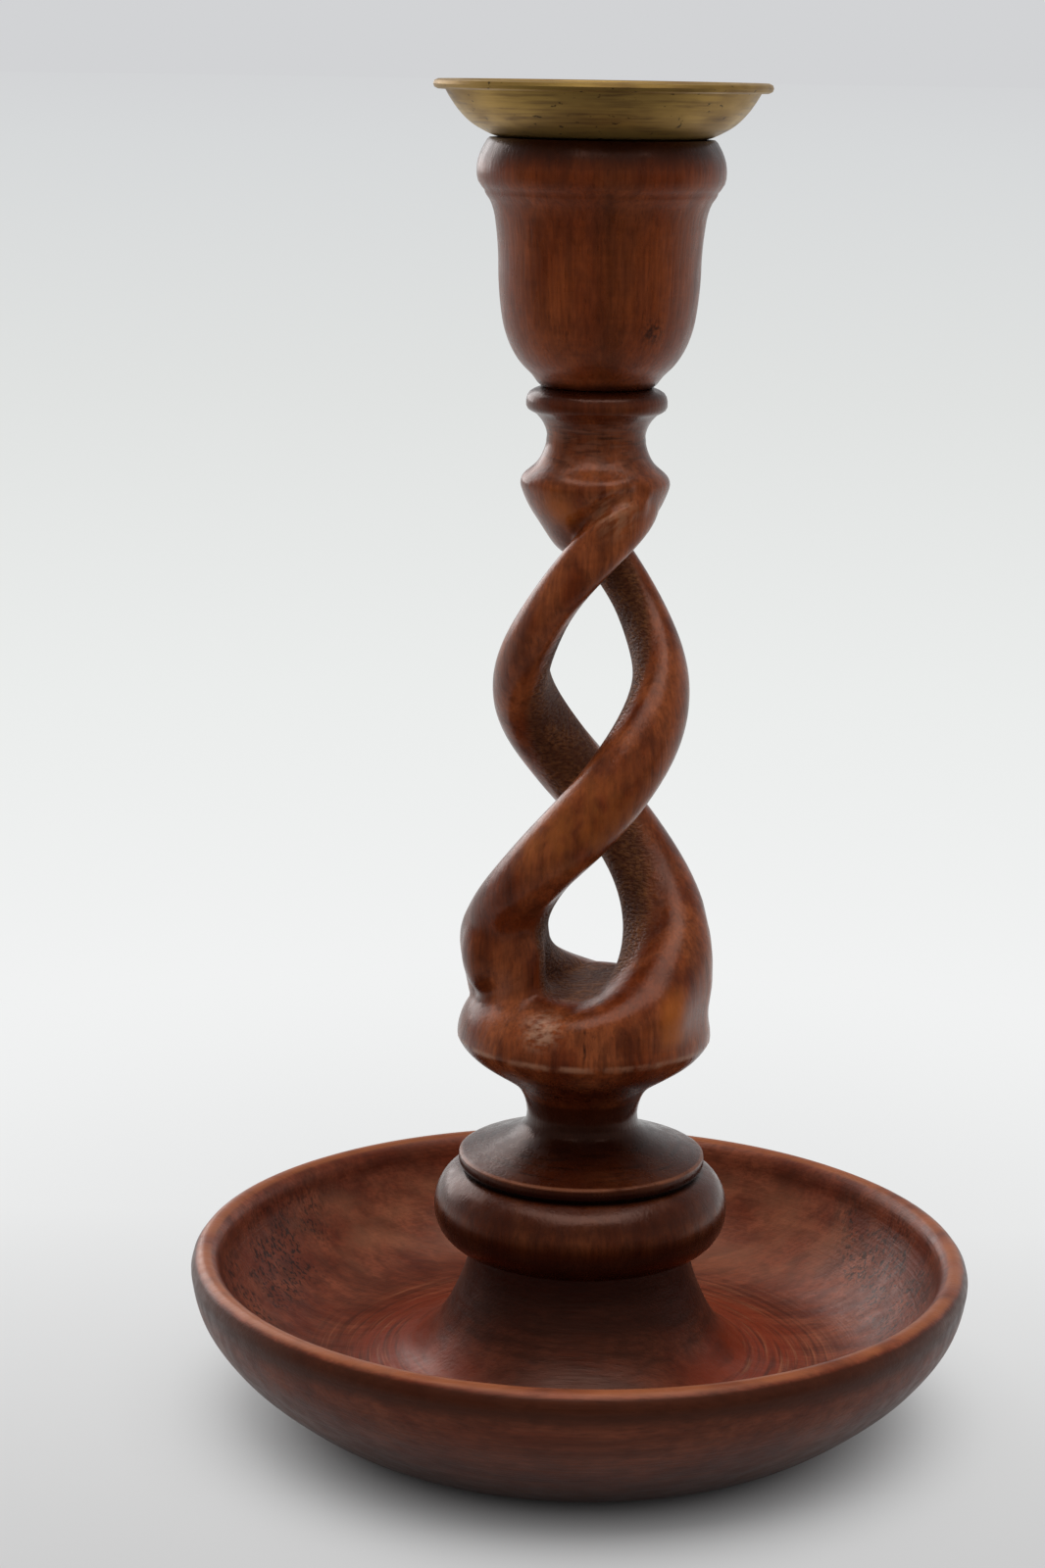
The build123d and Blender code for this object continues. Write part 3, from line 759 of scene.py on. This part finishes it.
# Drip pan: thin sheet brass spun to a flat-bottomed saucer, its edge rolled over into a bead. It lies loose
# on the cup round the nozzle. Its brass is tarnished like the nozzle's, in a paler brown.
pan_outline = [
    [(11.96, 230.5), (14.5, 230.5), (17.2, 230.5)],
    [(17.2, 230.5), (17.9, 230.6), (20.6, 231.7), (22.3, 232.7), (24.7, 235.0), (26.2, 237.1), (27.3, 239.0)],
    [(27.3, 239.0), (27.6, 238.6), (28.2, 238.4), (28.8, 238.7), (29.0, 239.25), (28.8, 239.8)]
    + [(28.2, 240.09), (27.5, 240.0), (26.9, 239.5), (25.4, 237.3), (23.9, 235.2), (21.8, 233.4)]
    + [(20.2, 232.5), (17.7, 231.5)],
    [(17.7, 231.5), (17.2, 231.4), (14.5, 231.4), (11.96, 231.4)],
    [(11.96, 231.4), (11.96, 230.5)],
]
pan = turned("brass_pan", pan_outline, sides=240, step=0.45)
pan_brass = aged_brass(
    "Brass, spun and aged",
    bright="#B08D48",
    dull="#8C6C38",
    brown="#5E4226",
    rough=0.38,
)
pan.data.materials.append(pan_brass)
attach(pan, "pan")
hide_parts("drip_pan")

# Floor: a plain pale sweep, in metres. Near the holder it is lit by the lamps and keeps the shadow. Further
# away it shows the camera and the mirroring surfaces an even grey of its own, dimmer in front for the latter.
bpy.ops.object.select_all(action="DESELECT")
bpy.ops.mesh.primitive_plane_add(size=80, location=(0, 0, 0))
floor = bpy.context.object
floor.name = "floor"
floor_paint = bpy.data.materials.new("Pale matt floor")
floor_paint.use_nodes = True
tree = floor_paint.node_tree
shader = tree.nodes["Principled BSDF"]
shader.inputs["Base Color"].default_value = linear("#CCCCCC")
shader.inputs["Roughness"].default_value = 0.9
shader.inputs["Specular IOR Level"].default_value = 0.1
place = add(tree, "ShaderNodeTexCoord", output=3)
away = add(tree, "ShaderNodeVectorMath", {0: place}, output=1, operation="LENGTH")
depth = add(tree, "ShaderNodeSeparateXYZ", {0: place}, output=1)
nearness = add(tree, "ShaderNodeMath", {0: away, 1: 1.0}, operation="ADD")
nearness = add(tree, "ShaderNodeMath", {0: 1.0, 1: nearness}, operation="DIVIDE")
floor_tones = [(0.0, 0.1, "#D7D9DA"), (0.1, 0.34, "#E0E2E1"), (0.34, 0.58, "#EBEDEC")]
floor_tones += [(0.58, 0.76, "#F1F2F2")]
tone = linear("#D2D3D5")
for low, high, code in floor_tones:
    reach = add(tree, "ShaderNodeMapRange", {"Value": nearness, "From Min": low, "From Max": high})
    tone = stain(tree, tone, linear(code), 1.0, reach)
reach = add(tree, "ShaderNodeMapRange", {"Value": depth, "From Min": 0.1, "From Max": -0.09})
tone = stain(tree, tone, linear("#CECECE"), 1.0, reach)
glossy = add(tree, "ShaderNodeLightPath", output=3)
front = add(tree, "ShaderNodeMapRange", {"Value": depth, "From Min": 0.1, "From Max": -0.25})
dim = stain(tree, tone, linear("#3A3A3A"), 1.0, front, glossy)
plain = add(tree, "ShaderNodeEmission", {"Color": dim, "Strength": 1.0})
seen = add(tree, "ShaderNodeLightPath", output=0)
seen = add(tree, "ShaderNodeMath", {0: seen, 1: glossy}, operation="MAXIMUM")
through = add(tree, "ShaderNodeLightPath", output=6)
seen = add(tree, "ShaderNodeMath", {0: seen, 1: through}, operation="MAXIMUM")
near_share = {"Value": away, "From Min": 0.042, "From Max": 0.078, "To Max": 0.7}
near_share = add(tree, "ShaderNodeMapRange", near_share, interpolation_type="SMOOTHSTEP")
far_share = {"Value": away, "From Min": 0.07, "From Max": 0.3, "To Max": 0.3}
far_share = add(tree, "ShaderNodeMapRange", far_share, interpolation_type="SMOOTHSTEP")
share = add(tree, "ShaderNodeMath", {0: near_share, 1: far_share}, operation="ADD")
mirrored = {"Value": away, "From Min": 0.06, "From Max": 0.16}
mirrored = add(tree, "ShaderNodeMapRange", mirrored, interpolation_type="SMOOTHSTEP")
mirrored = add(tree, "ShaderNodeMath", {0: mirrored, 1: glossy}, operation="MULTIPLY")
share = add(tree, "ShaderNodeMath", {0: share, 1: mirrored}, operation="MAXIMUM")
share = add(tree, "ShaderNodeMath", {0: share, 1: seen}, operation="MULTIPLY")
mix = add(tree, "ShaderNodeMixShader", {0: share, 1: shader.outputs[0], 2: plain})
tree.links.new(mix, tree.nodes["Material Output"].inputs["Surface"])
floor.data.materials.append(floor_paint)

# Light: a pale world that is bright low down behind the holder and, less so, at the right, and dim elsewhere,
# a large soft lamp overhead, and a weaker one behind at the left.
world = bpy.data.worlds.new("pale_room")
bpy.context.scene.world = world
world.use_nodes = True
tree = world.node_tree
tree.nodes.clear()
way = add(tree, "ShaderNodeTexCoord", output=0)
right = add(tree, "ShaderNodeSeparateXYZ", {0: way}, output=0)
right = {"Value": right, "From Min": 0.3, "From Max": 0.9, "To Max": 0.22}
right = add(tree, "ShaderNodeMapRange", right)
back = add(tree, "ShaderNodeSeparateXYZ", {0: way}, output=1)
back = add(tree, "ShaderNodeMapRange", {"Value": back, "From Min": -0.2, "From Max": 0.5})
low = add(tree, "ShaderNodeSeparateXYZ", {0: way}, output=2)
low = add(tree, "ShaderNodeMapRange", {"Value": low, "From Min": 0.6, "From Max": 0.3})
bright = add(tree, "ShaderNodeMath", {0: back, 1: right}, operation="MAXIMUM")
bright = add(tree, "ShaderNodeMath", {0: bright, 1: low}, operation="MULTIPLY")
room_strength = add(tree, "ShaderNodeMapRange", {"Value": bright, "To Min": 0.24, "To Max": 0.66})
room = add(tree, "ShaderNodeBackground", {"Color": linear("#F4F4F6"), "Strength": room_strength})
backdrop = add(tree, "ShaderNodeBackground", {"Color": linear("#D2D3D5"), "Strength": 1.0})
camera_ray = add(tree, "ShaderNodeLightPath", output=0)
mix = add(tree, "ShaderNodeMixShader", {0: camera_ray, 1: room, 2: backdrop})
add(tree, "ShaderNodeOutputWorld", {"Surface": mix})


def soft_lamp(name, place, aim, side, power):
    """A square soft lamp that looks at a point. Places and side are in metres, power in watts."""
    data = bpy.data.lights.new(name, "AREA")
    data.shape = "SQUARE"
    data.size = side
    data.energy = power
    lamp = bpy.data.objects.new(name, data)
    lamp.location = place
    lamp.rotation_euler = (Vector(aim) - Vector(place)).to_track_quat("-Z", "Y").to_euler()
    bpy.context.collection.objects.link(lamp)


soft_lamp("lamp_overhead", place=(0.05, -0.2, 1.3), aim=(0, 0, 0.1), side=1.3, power=14.0)
soft_lamp("lamp_left_back", place=(-0.7, 0.9, 0.55), aim=(0, 0, 0.05), side=0.8, power=5.0)

# Camera: at the photograph's distance, height and tilt, worked out from the ellipses of the dish and from
# where it touches the floor.
camera_place = Vector((0, -579.6, 243.5)) * MM
camera_turn = Matrix.Rotation(math.radians(1.168), 4, "Z")
camera_tilt = Matrix.Rotation(math.radians(90 - 12.278), 4, "X")
camera_roll = Matrix.Rotation(math.radians(0.951), 4, "Z")
camera_data = bpy.data.cameras.new("camera")
camera_data.sensor_width = 36.0
camera_data.lens = 76.47
camera = bpy.data.objects.new("camera", camera_data)
bpy.context.collection.objects.link(camera)
camera.matrix_world = Matrix.Translation(camera_place) @ (camera_turn @ camera_tilt @ camera_roll)
bpy.context.scene.camera = camera
bpy.context.scene.view_settings.view_transform = "Standard"
